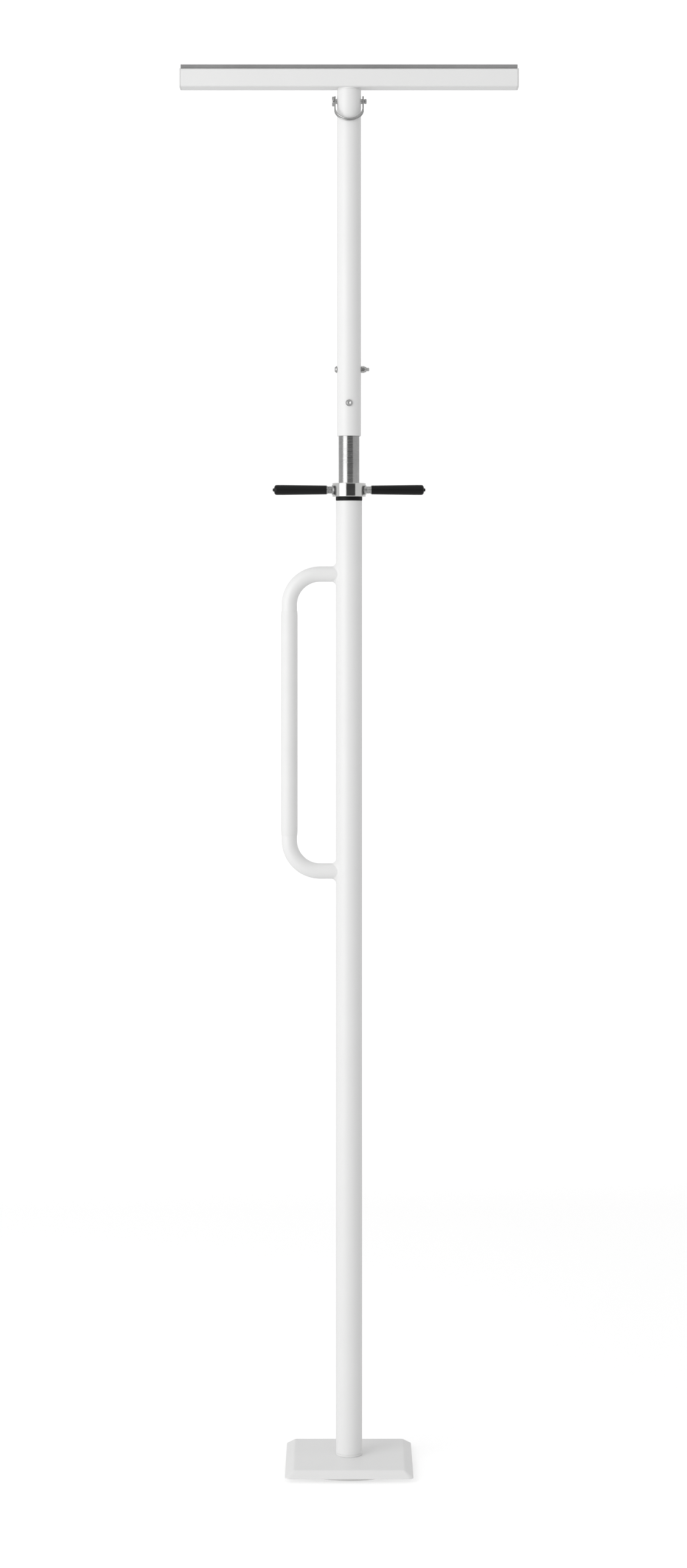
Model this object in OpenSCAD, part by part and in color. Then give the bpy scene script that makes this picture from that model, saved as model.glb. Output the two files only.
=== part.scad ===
// Floor-to-ceiling grab pole with a screw jack, a D handle and a T-shaped ceiling head.
// Millimetres. +Z is up, the pole's axis is the Z axis, and the floor is z = 0.
// The handle is on the -X side, and the front of the pole faces -Y.

/* [Floor plate] */
// Side of the square floor plate at its rim
plate_w = 205; // [160:5:260]
// Height from the rim to the flat top
plate_rise = 10.5; // [8:0.5:16]
// How far the sloping flank leads inwards
plate_flank = 13.5; // [8:0.5:20]
// Corner radius at the rim
plate_corner = 10; // [9:1:24]
// Thickness of the pressed sheet
plate_t = 3.5; // [3:0.5:5]
// Diameter of the rubber sole
sole_d = 180; // [120:5:180]
// Thickness of the sole under the rim
sole_t = 7; // [4:0.5:10]

/* [Lower pole] */
// Outer diameter of the lower tube
lower_d = 42.4; // [42:0.1:44]
// Wall of the lower tube
lower_wall = 2.6; // [2:0.1:2.6]
// Length of the lower tube
lower_l = 1543.5; // [1300:0.5:1800]
// Thickness of the bush flange under the lower tube
foot_flange_t = 4; // [3:0.5:6]
// Outer diameter of the stub that the lower tube turns on
stub_d = 32; // [28:1:33]

/* [Handle] */
// Outer diameter of the handle tube
handle_d = 25; // [22:1:28]
// Distance from the pole's axis to the grip's axis
handle_reach = 97; // [85:1:120]
// Height of the lower horizontal leg
handle_low = 964; // [800:1:1000]
// Distance between the two horizontal legs
handle_span = 482; // [400:1:520]
// Bend radius on the centreline
handle_bend = 50; // [40:1:60]
// Outer diameter of the grip sleeve
sleeve_d = 27; // [26:0.5:30]

/* [Jack] */
// Outer diameter of the screw
screw_d = 35; // [34:0.5:35]
// Wall of the screw
screw_wall = 3; // [2:0.5:4]
// Length of screw in sight between the jack nut and the upper tube
thread_shown = 76.5; // [20:0.5:80]
// Outer diameter of the jack nut
nut_d = 54.5; // [50:0.5:60]
// Height of the jack nut
nut_h = 22; // [18:1:30]
// Thickness of the black bush flange under the jack nut
bush_flange_t = 6.5; // [4:0.5:8]
// Diameter of the two turning bars
bar_d = 12.7; // [10:0.1:14]
// Distance from the pole's axis to a grip's tip
bar_reach = 124; // [100:1:150]

/* [Upper pole] */
// Outer diameter of the upper tube
upper_d = 39; // [39:0.5:41]
// Wall of the upper tube
upper_wall = 1.75; // [1:0.05:1.75]
// Length of the upper tube
upper_l = 561; // [400:1:900]
// Height of the front cross bolt above the upper tube's end
front_bolt_up = 53; // [40:1:60]
// Height of the side cross bolt above the upper tube's end
side_bolt_up = 108; // [90:1:115]

/* [Ceiling head] */
// Length of the head beam over its end caps
beam_l = 550; // [400:10:700]
// Width of the head beam
beam_w = 45; // [40:1:60]
// Height of the head beam
beam_h = 30; // [25:1:40]
// Thickness of the rubber ceiling strip
strip_t = 6; // [3:0.5:8]
// Thickness of the collar under the beam
collar_t = 3; // [2:0.5:5]

/* [Lock pin] */
// Diameter of the lock pin
pin_d = 8; // [6:0.5:10]
// Depth of the lock pin below the upper tube's end
pin_down = 18; // [14:1:24]
// Wire diameter of the bail
wire_d = 2.5; // [2:0.1:3]
// Half the width of the bail's bow
bail_r = 22.8; // [22.5:0.1:24]
// Reach of the bail from the pin's axis
bail_reach = 39; // [38:0.5:42]
// Angle of the hanging bail away from straight down
bail_tilt = 36.5; // [36.5:0.5:40]

/* [Hidden] */

$fn = 96;
// Radial gap between pieces fixed together, and of the running fits
snug = 0.05;
running = 0.05;
// Overlap that lets a cutter break cleanly through a face
cut = 1;

// Heights, from the floor up
z_rim = sole_t;
z_plate = z_rim + plate_rise;
z_lower = z_plate + foot_flange_t;
z_lower_top = z_lower + lower_l;
z_nut = z_lower_top + bush_flange_t;
z_nut_top = z_nut + nut_h;
z_bar = z_nut + nut_h / 2;
z_upper = z_nut_top + thread_shown;
z_front_bolt = z_upper + front_bolt_up;
z_side_bolt = z_upper + side_bolt_up;
z_upper_top = z_upper + upper_l;
z_pin = z_upper_top - pin_down;
z_beam = z_upper_top + collar_t;
z_strip = z_beam + beam_h;

// Radii of the tubes
lower_r = lower_d / 2;
lower_bore = lower_r - lower_wall;
stub_r = stub_d / 2;
stub_l = 77.5;
stub_wall = 3;
screw_r = screw_d / 2;
upper_r = upper_d / 2;
upper_bore = upper_r - upper_wall;

// Floor plate: edge round, underside and the sole's plug in it
plate_edge_r = 3;
plate_edge_flat = 0.6;
plate_land = 1.5;
plug_d = 168;

// Stub weld and the pocket in the foot bush that clears it
stub_weld_leg = 2.2;
weld_pocket_r = 18.6;
weld_pocket_h = 2.6;
foot_sleeve_l = 40;

// Handle
handle_r = handle_d / 2;
handle_wall = 1.5;
handle_high = handle_low + handle_span;
sleeve_gap = 8;
sleeve_taper = 7;
sleeve_edge = 0.4;
weld_root_x = 15;
weld_root_r = 20.5;
weld_tip_x = 28;

// Jack
bush_over = 0.4;
bush_sleeve_l = 40;
nut_chamfer = 0.8;
bar_root = 19.5;
bar_hole_end = 18.9;
seat_x = 24.5;
seat_r = 10;
shoulder_r = 9.2;
shoulder_t = 3.6;
shoulder_slope = 1.9;
grip_start = 36.2;
grip_r_in = 7.3;
grip_r_out = 8.2;
grip_round = 4;
pip_r = 3;
pip_h = 2.5;
screw_up = 130;
screw_down = 131.5;
guide_l = 23;
guide_end_t = 4;
guide_hole_r = 10;

// Cross bolts, M6
bolt_r = 3;
bolt_hole_r = 3.2;
bolt_end = 32.8;
dome_r = 5.6;
dome_h = 3.8;
socket_af = 4;
socket_depth = 2;
nut_af = 9.6;
nut_hex_h = 6;
nut_collar_h = 1.5;
nut_collar_r = 4.6;
nut_collar_round = 1.2;
insert_r = 4;
insert_t = 1.6;

// Head
head_stub_r = 17.55;
head_stub_wall = 3;
head_stub_l = 84;
collar_r = 18.5;
beam_wall = 2;
beam_corner = 4;
cap_t = 2.5;
cap_plug = 8;
strip_l = beam_l - 5;
strip_w = beam_w - 2;

// Lock pin and bail
pin_r = pin_d / 2;
pin_tip = 28.5;
pin_head_r = 8;
pin_head_t = 3.5;
pin_chamfer = 1;
wire_r = wire_d / 2;
strand = 2.5;
eye_r = 5.6;
eye_up = 3;

// ---- Shapes shared by several pieces ----

// Tube standing on z, wall measured inwards
module tube(r, wall, z, h) {
    translate([0, 0, z])
    difference() {
        cylinder(r = r, h = h);
        translate([0, 0, -cut]) cylinder(r = r - wall, h = h + 2 * cut);
    }
}

// Square with round corners, centred
module round_square(w, d, r) {
    square([w - 2 * r, d], center = true);
    square([w, d - 2 * r], center = true);
    for (x = [-1, 1], y = [-1, 1])
        translate([x * (w / 2 - r), y * (d / 2 - r)]) circle(r = r);
}

// Beam section lying along x: w deep in y, h high in z, from x = -l/2 to l/2
module beam_bar(l, w, h, r) {
    rotate([90, 0, 90])
    linear_extrude(height = l, center = true) round_square(w, h, r);
}

// Cylinder along x or y through the pole's axis
module cross_hole(r, z, along_y = false) {
    translate([0, 0, z])
    rotate(along_y ? [90, 0, 0] : [0, 90, 0])
    cylinder(r = r, h = 4 * upper_r, center = true);
}

// Body of the floor plate, grown or shrunk by inset, with its top edge rounded
module plate_body(inset) {
    edge_steps = 3;
    layer = 0.05;
    hull() {
        for (z = [0, plate_land])
            translate([0, 0, z_rim + z])
            linear_extrude(height = layer)
            round_square(plate_w - 2 * inset, plate_w - 2 * inset, plate_corner - inset);
        for (i = [0:edge_steps]) {
            turn = 90 * i / edge_steps;
            lead = plate_flank + plate_edge_r * (1 - sin(turn));
            top_w = plate_w - 2 * (inset + lead);
            drop = inset + plate_edge_r * plate_edge_flat * (1 - cos(turn));
            translate([0, 0, z_plate - drop - layer])
            linear_extrude(height = layer)
            round_square(top_w, top_w, plate_corner - inset);
        }
    }
}

// ---- Base ----

module rubber_sole() {
    color("gainsboro") {
        cylinder(d = sole_d, h = sole_t);
        cylinder(d = plug_d, h = z_plate - plate_t);
    }
}

module floor_plate() {
    color("white")
    difference() {
        plate_body(0);
        intersection() {
            plate_body(plate_t);
            cylinder(r = plate_w, h = z_plate - plate_t);
        }
        cylinder(d = plug_d + 2 * snug, h = z_plate - plate_t);
    }
}

module plate_stub() {
    color("white") tube(stub_r, stub_wall, z_plate, stub_l);
}

module stub_weld() {
    color("white")
    translate([0, 0, z_plate])
    rotate_extrude()
    polygon([
        [stub_r + snug, 0],
        [stub_r + stub_weld_leg, 0],
        [stub_r + stub_weld_leg * 0.7, stub_weld_leg * 0.7],
        [stub_r + snug, stub_weld_leg]
    ]);
}

// ---- Lower pole ----

module foot_bush() {
    color("white")
    translate([0, 0, z_plate])
    difference() {
        union() {
            cylinder(r = lower_r, h = foot_flange_t);
            cylinder(r = lower_bore - snug, h = foot_flange_t + foot_sleeve_l);
        }
        translate([0, 0, -cut])
            cylinder(r = stub_r + running, h = foot_flange_t + foot_sleeve_l + 2 * cut);
        translate([0, 0, -cut]) cylinder(r = weld_pocket_r, h = weld_pocket_h + cut);
    }
}

module lower_tube() {
    color("white") tube(lower_r, lower_wall, z_lower, lower_l);
}

// D-shaped path of the handle as a solid rod of radius r
module handle_rod(r) {
    leg = handle_reach - handle_bend;
    for (side = [-1, 1]) {
        z_leg = side > 0 ? handle_high : handle_low;
        translate([-leg, 0, z_leg]) rotate([0, 90, 0]) cylinder(r = r, h = leg);
        translate([-leg, 0, z_leg - side * handle_bend])
            mirror([0, 0, side > 0 ? 0 : 1])
            rotate([90, 0, 0])
            rotate([0, 0, 90])
            rotate_extrude(angle = 90)
            translate([handle_bend, 0]) circle(r = r);
    }
    translate([-handle_reach, 0, handle_low + handle_bend])
        cylinder(r = r, h = handle_span - 2 * handle_bend);
}

module handle_tube() {
    color("white")
    difference() {
        handle_rod(handle_r);
        handle_rod(handle_r - handle_wall);
        translate([0, 0, handle_low - 2 * handle_r])
            cylinder(r = lower_r + snug, h = handle_span + 4 * handle_r);
    }
}

module handle_grip() {
    low = handle_low + handle_bend + sleeve_gap;
    high = handle_high - handle_bend - sleeve_gap - 2;
    inner = handle_r + snug;
    color("white")
    translate([-handle_reach, 0, 0])
    rotate_extrude()
    polygon([
        [inner, low],
        [inner + sleeve_edge, low],
        [sleeve_d / 2, low + sleeve_taper],
        [sleeve_d / 2, high - sleeve_taper],
        [inner + sleeve_edge, high],
        [inner, high]
    ]);
}

module handle_welds() {
    color("white")
    for (z = [handle_low, handle_high])
        translate([0, 0, z])
        difference() {
            translate([-weld_tip_x, 0, 0])
                rotate([0, 90, 0])
                cylinder(r1 = handle_r + snug, r2 = weld_root_r, h = weld_tip_x - weld_root_x);
            rotate([0, -90, 0]) cylinder(r = handle_r + snug, h = handle_reach);
            cylinder(r = lower_r + snug, h = 3 * weld_root_r, center = true);
        }
}

module top_bush() {
    color("black")
    difference() {
        union() {
            translate([0, 0, z_lower_top])
                cylinder(r = lower_r + bush_over, h = bush_flange_t);
            translate([0, 0, z_lower_top - bush_sleeve_l])
                cylinder(r = lower_bore - snug, h = bush_sleeve_l + cut);
        }
        translate([0, 0, z_lower_top - bush_sleeve_l - cut])
            cylinder(r = screw_r + running, h = bush_sleeve_l + bush_flange_t + 2 * cut);
    }
}

// ---- Jack nut and its bars ----

module jack_nut() {
    r = nut_d / 2;
    color("silver")
    difference() {
        translate([0, 0, z_nut])
            rotate_extrude()
            polygon([
                [screw_r + running, 0],
                [r - nut_chamfer, 0],
                [r, nut_chamfer],
                [r, nut_h - nut_chamfer],
                [r - nut_chamfer, nut_h],
                [screw_r + running, nut_h]
            ]);
        for (side = [-1, 1])
            translate([side * bar_hole_end, 0, z_bar])
            rotate([0, side * 90, 0]) {
                cylinder(r = bar_d / 2 + snug, h = nut_d / 2);
                translate([0, 0, seat_x - bar_hole_end]) cylinder(r = seat_r, h = nut_d / 2);
            }
    }
}

module jack_bars() {
    r = bar_d / 2;
    foot = seat_x + snug;
    end = bar_reach - pip_h - grip_round;
    color("silver")
    for (side = [-1, 1])
        translate([0, 0, z_bar])
        rotate([0, side * 90, 0])
        rotate_extrude()
        polygon([
            [0, bar_root],
            [r, bar_root],
            [r, foot],
            [shoulder_r, foot],
            [shoulder_r, foot + shoulder_t - shoulder_slope],
            [shoulder_r - shoulder_slope, foot + shoulder_t],
            [r, foot + shoulder_t],
            [r, end],
            [0, end]
        ]);
}

module jack_grips() {
    bore = bar_d / 2 + snug;
    end = bar_reach - pip_h;
    round_steps = 6;
    color("black")
    for (side = [-1, 1])
        translate([0, 0, z_bar])
        rotate([0, side * 90, 0])
        rotate_extrude()
        polygon(concat(
            [
                [0, end - grip_round],
                [bore, end - grip_round],
                [bore, grip_start],
                [grip_r_in - 0.4, grip_start],
                [grip_r_in, grip_start + 0.4]
            ],
            [for (i = [0:round_steps])
                [
                    grip_r_out - grip_round * (1 - cos(90 * i / round_steps)),
                    end - grip_round * (1 - sin(90 * i / round_steps))
                ]],
            [[pip_r, end], [pip_r * 0.6, end + pip_h], [0, end + pip_h]]
        ));
}

// ---- Screw and upper pole ----

module screw_tube() {
    color("silver")
    difference() {
        tube(screw_r, screw_wall, z_nut - screw_down, screw_down + nut_h + thread_shown + screw_up);
        cross_hole(bolt_hole_r, z_front_bolt, along_y = true);
        cross_hole(bolt_hole_r, z_side_bolt);
    }
}

module screw_guide() {
    z_end = z_nut - screw_down;
    color("dimgray")
    difference() {
        translate([0, 0, z_end - guide_end_t])
            cylinder(r = lower_bore - running, h = guide_end_t + guide_l);
        translate([0, 0, z_end]) cylinder(r = screw_r + snug, h = guide_l + cut);
        translate([0, 0, z_end - guide_end_t - cut]) cylinder(r = guide_hole_r, h = guide_l);
    }
}

module upper_tube() {
    color("white")
    difference() {
        tube(upper_r, upper_wall, z_upper, upper_l);
        cross_hole(bolt_hole_r, z_front_bolt, along_y = true);
        cross_hole(bolt_hole_r, z_side_bolt);
        cross_hole(pin_r + running, z_pin);
    }
}

// Repeats a fastener drawn along +z for the front bolt (head at -y) and the side bolt (head at -x)
module each_cross_bolt() {
    translate([0, 0, z_front_bolt]) rotate([-90, 0, 0]) children();
    translate([0, 0, z_side_bolt]) rotate([0, 90, 0]) children();
}

module cross_bolts() {
    dome_steps = 8;
    color("silver")
    each_cross_bolt()
    difference() {
        union() {
            translate([0, 0, -upper_r]) cylinder(r = bolt_r, h = upper_r + bolt_end);
            translate([0, 0, -upper_r])
                rotate_extrude()
                polygon(concat(
                    [[0, 0]],
                    [for (i = [0:dome_steps])
                        [dome_r * cos(90 * i / dome_steps), -dome_h * sin(90 * i / dome_steps)]]
                ));
        }
        translate([0, 0, -upper_r - dome_h - cut])
            cylinder(d = socket_af / cos(30), h = socket_depth + cut, $fn = 6);
    }
}

module lock_nuts() {
    round_steps = 5;
    color("silver")
    each_cross_bolt()
    translate([0, 0, upper_r])
    difference() {
        union() {
            cylinder(d = nut_af / cos(30), h = nut_hex_h, $fn = 6);
            translate([0, 0, nut_hex_h])
                rotate_extrude()
                polygon(concat(
                    [[0, 0], [nut_collar_r, 0]],
                    [for (i = [0:round_steps])
                        [
                            nut_collar_r - nut_collar_round * (1 - cos(75 * i / round_steps)),
                            nut_collar_h + nut_collar_round * sin(75 * i / round_steps)
                        ]],
                    [[0, nut_collar_h + nut_collar_round * sin(75)]]
                ));
        }
        translate([0, 0, -cut]) cylinder(r = bolt_r + snug, h = 3 * nut_hex_h);
        translate([0, 0, nut_hex_h]) cylinder(r = insert_r, h = insert_t);
    }
}

module nut_inserts() {
    color("ivory")
    each_cross_bolt()
    translate([0, 0, upper_r + nut_hex_h])
    difference() {
        cylinder(r = insert_r - snug, h = insert_t);
        translate([0, 0, -cut]) cylinder(r = bolt_r + snug, h = insert_t + 2 * cut);
    }
}

// ---- Ceiling head ----

module head_stub() {
    color("white")
    difference() {
        tube(head_stub_r, head_stub_wall, z_beam - head_stub_l, head_stub_l);
        cross_hole(pin_r + running, z_pin);
    }
}

module head_collar() {
    color("white")
    tube(collar_r, collar_r - head_stub_r - snug, z_upper_top, collar_t);
}

module head_beam() {
    color("white")
    translate([0, 0, z_beam + beam_h / 2])
    difference() {
        beam_bar(beam_l - 2 * cap_t, beam_w, beam_h, beam_corner);
        beam_bar(beam_l, beam_w - 2 * beam_wall, beam_h - 2 * beam_wall, beam_corner - beam_wall);
    }
}

module beam_end_caps() {
    plug_w = beam_w - 2 * beam_wall - 2 * snug;
    plug_h = beam_h - 2 * beam_wall - 2 * snug;
    color("white")
    for (side = [-1, 1])
        translate([side * (beam_l / 2 - cap_t), 0, z_beam + beam_h / 2]) {
            translate([side * cap_t / 2, 0, 0]) beam_bar(cap_t, beam_w, beam_h, beam_corner);
            translate([-side * cap_plug / 2, 0, 0])
                beam_bar(cap_plug, plug_w, plug_h, beam_corner - beam_wall);
        }
}

module ceiling_strip() {
    color("gray")
    translate([0, 0, z_strip + strip_t / 2])
    cube([strip_l, strip_w, strip_t], center = true);
}

// ---- Lock pin ----

module lock_pin() {
    head_x = bail_r + wire_r + snug;
    color("silver")
    translate([0, 0, z_pin])
    rotate([0, 90, 0])
    rotate_extrude()
    polygon([
        [0, -head_x - pin_head_t],
        [pin_head_r - pin_chamfer, -head_x - pin_head_t],
        [pin_head_r, -head_x - pin_head_t + pin_chamfer],
        [pin_head_r, -head_x],
        [pin_r, -head_x],
        [pin_r, pin_tip - pin_chamfer],
        [pin_r - pin_chamfer, pin_tip],
        [0, pin_tip]
    ]);
}

// Half ring of wire of radius r in the XZ plane, below the X axis
module bow(r) {
    rotate([90, 0, 0])
        rotate([0, 0, 180])
        rotate_extrude(angle = 180)
        translate([r, 0]) circle(r = wire_r);
}

// Two strands run from eye to eye in planes that close towards the bow, tilted forwards as one
module pin_bail() {
    arm = bail_reach + eye_up - bail_r;
    spread = asin((eye_r - strand) / (arm + bail_r));
    color("silver")
    translate([0, eye_up * sin(bail_tilt), z_pin + eye_up * cos(bail_tilt)]) {
        for (w = [-1, 1])
            rotate([-bail_tilt - w * spread, 0, 0])
            translate([0, w * eye_r, -arm]) {
                bow(bail_r);
                for (side = [-1, 1])
                    translate([side * bail_r, 0, 0]) cylinder(r = wire_r, h = arm);
            }
        for (side = [-1, 1])
            translate([side * bail_r, 0, 0])
            rotate([90, 0, 90])
            rotate([0, 0, -bail_tilt - spread])
            rotate_extrude(angle = 180 + 2 * spread)
            translate([eye_r, 0]) circle(r = wire_r);
    }
}

rubber_sole();
floor_plate();
plate_stub();
stub_weld();
foot_bush();
lower_tube();
handle_tube();
handle_grip();
handle_welds();
top_bush();
jack_nut();
jack_bars();
jack_grips();
screw_tube();
screw_guide();
upper_tube();
cross_bolts();
lock_nuts();
nut_inserts();
head_stub();
head_collar();
head_beam();
beam_end_caps();
ceiling_strip();
lock_pin();
pin_bail();
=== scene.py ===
"""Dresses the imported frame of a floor-to-ceiling grab pole: meshes, finishes, light and camera."""

import logging
import math
from collections.abc import Callable, Sequence
from dataclasses import dataclass
from enum import Enum

import bmesh
import bpy
from mathutils import Matrix, Vector


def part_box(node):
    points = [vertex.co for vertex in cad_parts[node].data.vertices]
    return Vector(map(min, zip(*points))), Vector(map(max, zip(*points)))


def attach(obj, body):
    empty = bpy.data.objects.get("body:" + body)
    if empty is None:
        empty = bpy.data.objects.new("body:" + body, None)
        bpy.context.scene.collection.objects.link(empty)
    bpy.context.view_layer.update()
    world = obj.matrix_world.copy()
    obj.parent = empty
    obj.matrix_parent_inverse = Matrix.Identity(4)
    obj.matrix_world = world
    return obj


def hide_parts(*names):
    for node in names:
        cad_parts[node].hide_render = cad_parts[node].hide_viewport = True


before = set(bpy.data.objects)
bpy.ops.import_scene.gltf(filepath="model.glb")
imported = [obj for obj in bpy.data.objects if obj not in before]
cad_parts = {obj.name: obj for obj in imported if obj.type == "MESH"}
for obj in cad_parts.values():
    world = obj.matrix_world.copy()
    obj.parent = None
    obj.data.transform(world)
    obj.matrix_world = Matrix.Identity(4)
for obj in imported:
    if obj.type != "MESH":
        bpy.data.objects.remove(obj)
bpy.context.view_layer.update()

log = logging.getLogger("grab_pole")

MM = 0.001
CREASE = 32.0
CREST, FLANK = 0.11, 0.21
Colour = tuple[float, float, float]
Profile = list[tuple[float, float]]
Piece = bpy.types.Object
Tree = bpy.types.NodeTree
Node = bpy.types.Node
Socket = bpy.types.NodeSocket


class Axis(Enum):
    """The way a turned piece's own axis points in the shared frame."""

    UP = "up"
    BACK = "back"
    RIGHT = "right"
    LEFT = "left"

    def turn(self) -> Matrix:
        """The rotation that takes +Z to this direction."""
        quarter = math.pi / 2
        return {
            Axis.UP: Matrix.Identity(4), Axis.BACK: Matrix.Rotation(-quarter, 4, "X"),
            Axis.RIGHT: Matrix.Rotation(quarter, 4, "Y"), Axis.LEFT: Matrix.Rotation(-quarter, 4, "Y"),
        }[self]


class Side(Enum):
    """Left or right of the pole, as a sign along X."""

    LEFT = -1
    RIGHT = 1

    @property
    def axis(self) -> Axis:
        """The direction that leads outwards on this side."""
        return Axis.LEFT if self is Side.LEFT else Axis.RIGHT


# ---- measuring and placing


def box_mm(node: str) -> tuple[Vector, Vector]:
    """Lowest and highest corner of a CAD node.

    Args:
        node: the node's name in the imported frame.

    Returns:
        The two corners in millimetres.
    """
    low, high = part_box(node)
    return low / MM, high / MM


def at(height: float, axis: Axis = Axis.UP) -> Matrix:
    """Places a turned piece on the pole's axis.

    Args:
        height: height of the piece's own origin, in millimetres.
        axis: where the piece's own +Z points.

    Returns:
        The matrix that takes the piece's own coordinates to the shared frame.
    """
    return Matrix.Translation((0.0, 0.0, height)) @ axis.turn()


def arc(centre: tuple[float, float], radius: float, start: float, end: float, steps: int) -> Profile:
    """Points along an arc in a profile's plane.

    Args:
        centre: the arc's centre.
        radius: its radius.
        start: angle of the first point, in degrees.
        end: angle of the last point, in degrees.
        steps: how many chords the arc is cut into.

    Returns:
        steps + 1 points.
    """
    angles = [math.radians(start + (end - start) * i / steps) for i in range(steps + 1)]
    return [(centre[0] + radius * math.cos(a), centre[1] + radius * math.sin(a)) for a in angles]


def rounded(
    corners: Sequence[tuple[float, float, float]], steps: int = 4, closed: bool = True, steady: bool = True
) -> Profile:
    """Rounds the corners of a profile.

    Args:
        corners: x, y and round radius of each corner, in order.
        steps: chords in each round.
        closed: whether the last corner joins the first.
        steady: whether to add a point close to each end of every long straight, which keeps the
            shading of the straights flat.

    Returns:
        The profile with an arc at each corner that has a radius.
    """
    count = len(corners)
    outline: Profile = []
    for i, (x, y, radius) in enumerate(corners):
        if radius <= 0 or (not closed and i in (0, count - 1)):
            outline.append((x, y))
            continue
        here = Vector((x, y))
        before = (Vector(corners[i - 1][:2]) - here).normalized()
        after = (Vector(corners[(i + 1) % count][:2]) - here).normalized()
        half = before.angle(after) / 2
        reach = radius / math.tan(half)
        centre = here + (before + after).normalized() * (radius / math.sin(half))
        first = here + before * reach - centre
        last = here + after * reach - centre
        sweep = math.atan2(first.x * last.y - first.y * last.x, first.dot(last))
        for k in range(steps + 1):
            turned = Matrix.Rotation(sweep * k / steps, 2) @ first
            outline.append((centre.x + turned.x, centre.y + turned.y))
    return steadied(outline, closed) if steady else outline


def steadied(outline: Profile, closed: bool, gap: float = 0.4) -> Profile:
    """Adds a point close to each end of every long straight.

    Args:
        outline: the profile.
        closed: whether its last point joins the first.
        gap: distance of the added points from the ends.

    Returns:
        The profile with the added points.
    """
    steady: Profile = []
    last = len(outline) if closed else len(outline) - 1
    for i in range(last):
        start, end = Vector(outline[i]), Vector(outline[(i + 1) % len(outline)])
        steady.append(outline[i])
        length = (end - start).length
        if length > 4 * gap:
            along = (end - start) * (gap / length)
            steady.append(tuple(start + along))
            steady.append(tuple(end - along))
    if not closed:
        steady.append(outline[-1])
    return steady


def round_rect(width: float, height: float, radius: float, steps: int = 6) -> Profile:
    """Outline of a rectangle with round corners, centred on the origin.

    Args:
        width: full size along the first axis.
        height: full size along the second axis.
        radius: corner radius.
        steps: chords in each corner.

    Returns:
        The outline, counter-clockwise, with two more points on each side than its corners give.
    """
    w, h = width / 2, height / 2
    corners = [(-w, -h, radius), (w, -h, radius), (w, h, radius), (-w, h, radius)]
    bare = rounded(corners, steps, steady=False)
    outline: Profile = []
    for i, point in enumerate(bare):
        outline.append(point)
        if (i + 1) % (steps + 1) == 0:
            start, end = Vector(point), Vector(bare[(i + 1) % len(bare)])
            gap = (end - start) * min(0.4 / max((end - start).length, 1e-6), 0.3)
            outline += [tuple(start + gap), tuple(end - gap)]
    return outline


def circle(radius: float, height: float, place: Matrix, count: int = 48) -> list[Vector]:
    """Points round a circle on a piece's own Z axis, moved to its place."""
    angles = [math.tau * i / count for i in range(count)]
    return [place @ Vector((radius * math.cos(a), radius * math.sin(a), height)) for a in angles]


class Skin:
    """A mesh under construction, in millimetres in the shared frame."""

    WELD = 2e-6

    def __init__(self) -> None:
        """Starts with no points and no faces."""
        self.points: list[Vector] = []
        self.faces: list[tuple[int, ...]] = []

    def ring(self, points: Sequence[Vector]) -> list[int]:
        """Adds points and returns their numbers."""
        start = len(self.points)
        self.points.extend(points)
        return list(range(start, len(self.points)))

    def loft(self, rings: Sequence[Sequence[Vector]], loop: bool = False) -> "Skin":
        """Joins rings that all have the same number of points.

        Args:
            rings: the rings in order.
            loop: whether the last ring joins the first; otherwise both ends are capped.

        Returns:
            The same skin.
        """
        numbers = [self.ring(points) for points in rings]
        pairs = list(zip(numbers, numbers[1:]))
        if loop:
            pairs.append((numbers[-1], numbers[0]))
        count = len(numbers[0])
        for low, high in pairs:
            for i in range(count):
                j = (i + 1) % count
                self.faces.append((low[i], low[j], high[j], high[i]))
        if not loop:
            self.faces.append(tuple(reversed(numbers[0])))
            self.faces.append(tuple(numbers[-1]))
        return self

    def turned(self, profile: Profile, place: Matrix, segments: int = 96, loop: bool = False) -> "Skin":
        """Turns a profile round the piece's own Z axis.

        Args:
            profile: radius and height of each point; it starts and ends on the axis unless loop.
            place: where the piece's own axes lie in the shared frame.
            segments: faces round the axis.
            loop: whether the profile is a closed section, as a tube's is.

        Returns:
            The same skin.
        """
        return self.loft([circle(radius, height, place, segments) for radius, height in profile], loop)

    def build(self, name: str) -> Piece:
        """Makes the finished object, with doubles merged and its faces pointing outwards.

        Args:
            name: the object's name.

        Returns:
            A mesh object at the origin, in metres.
        """
        mesh = bpy.data.meshes.new(name)
        mesh.from_pydata([p * MM for p in self.points], [], self.faces)
        work = bmesh.new()
        work.from_mesh(mesh)
        bmesh.ops.remove_doubles(work, verts=work.verts, dist=self.WELD)
        bmesh.ops.dissolve_degenerate(work, dist=self.WELD / 2, edges=work.edges)
        bmesh.ops.recalc_face_normals(work, faces=work.faces)
        work.to_mesh(mesh)
        work.free()
        return linked(name, mesh)


def pipe(name: str, section: Profile, segments: int = 128) -> Piece:
    """Turns a closed section round the pole's axis."""
    return Skin().turned(section, Matrix.Identity(4), segments, loop=True).build(name)


def linked(name: str, data: bpy.types.ID) -> Piece:
    """Makes an object of the data given and puts it in the scene."""
    piece = bpy.data.objects.new(name, data)
    bpy.context.scene.collection.objects.link(piece)
    return piece


def joined(name: str, parts: Sequence[Piece]) -> Piece:
    """Makes one object out of several, each a closed shell of its own.

    Args:
        name: the new object's name.
        parts: the objects, which are removed.

    Returns:
        The new object at the origin.
    """
    work = bmesh.new()
    for part in parts:
        work.from_mesh(part.data)
    mesh = bpy.data.meshes.new(name)
    work.to_mesh(mesh)
    work.free()
    for part in parts:
        bpy.data.objects.remove(part)
    return linked(name, mesh)


# ---- node trees


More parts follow.
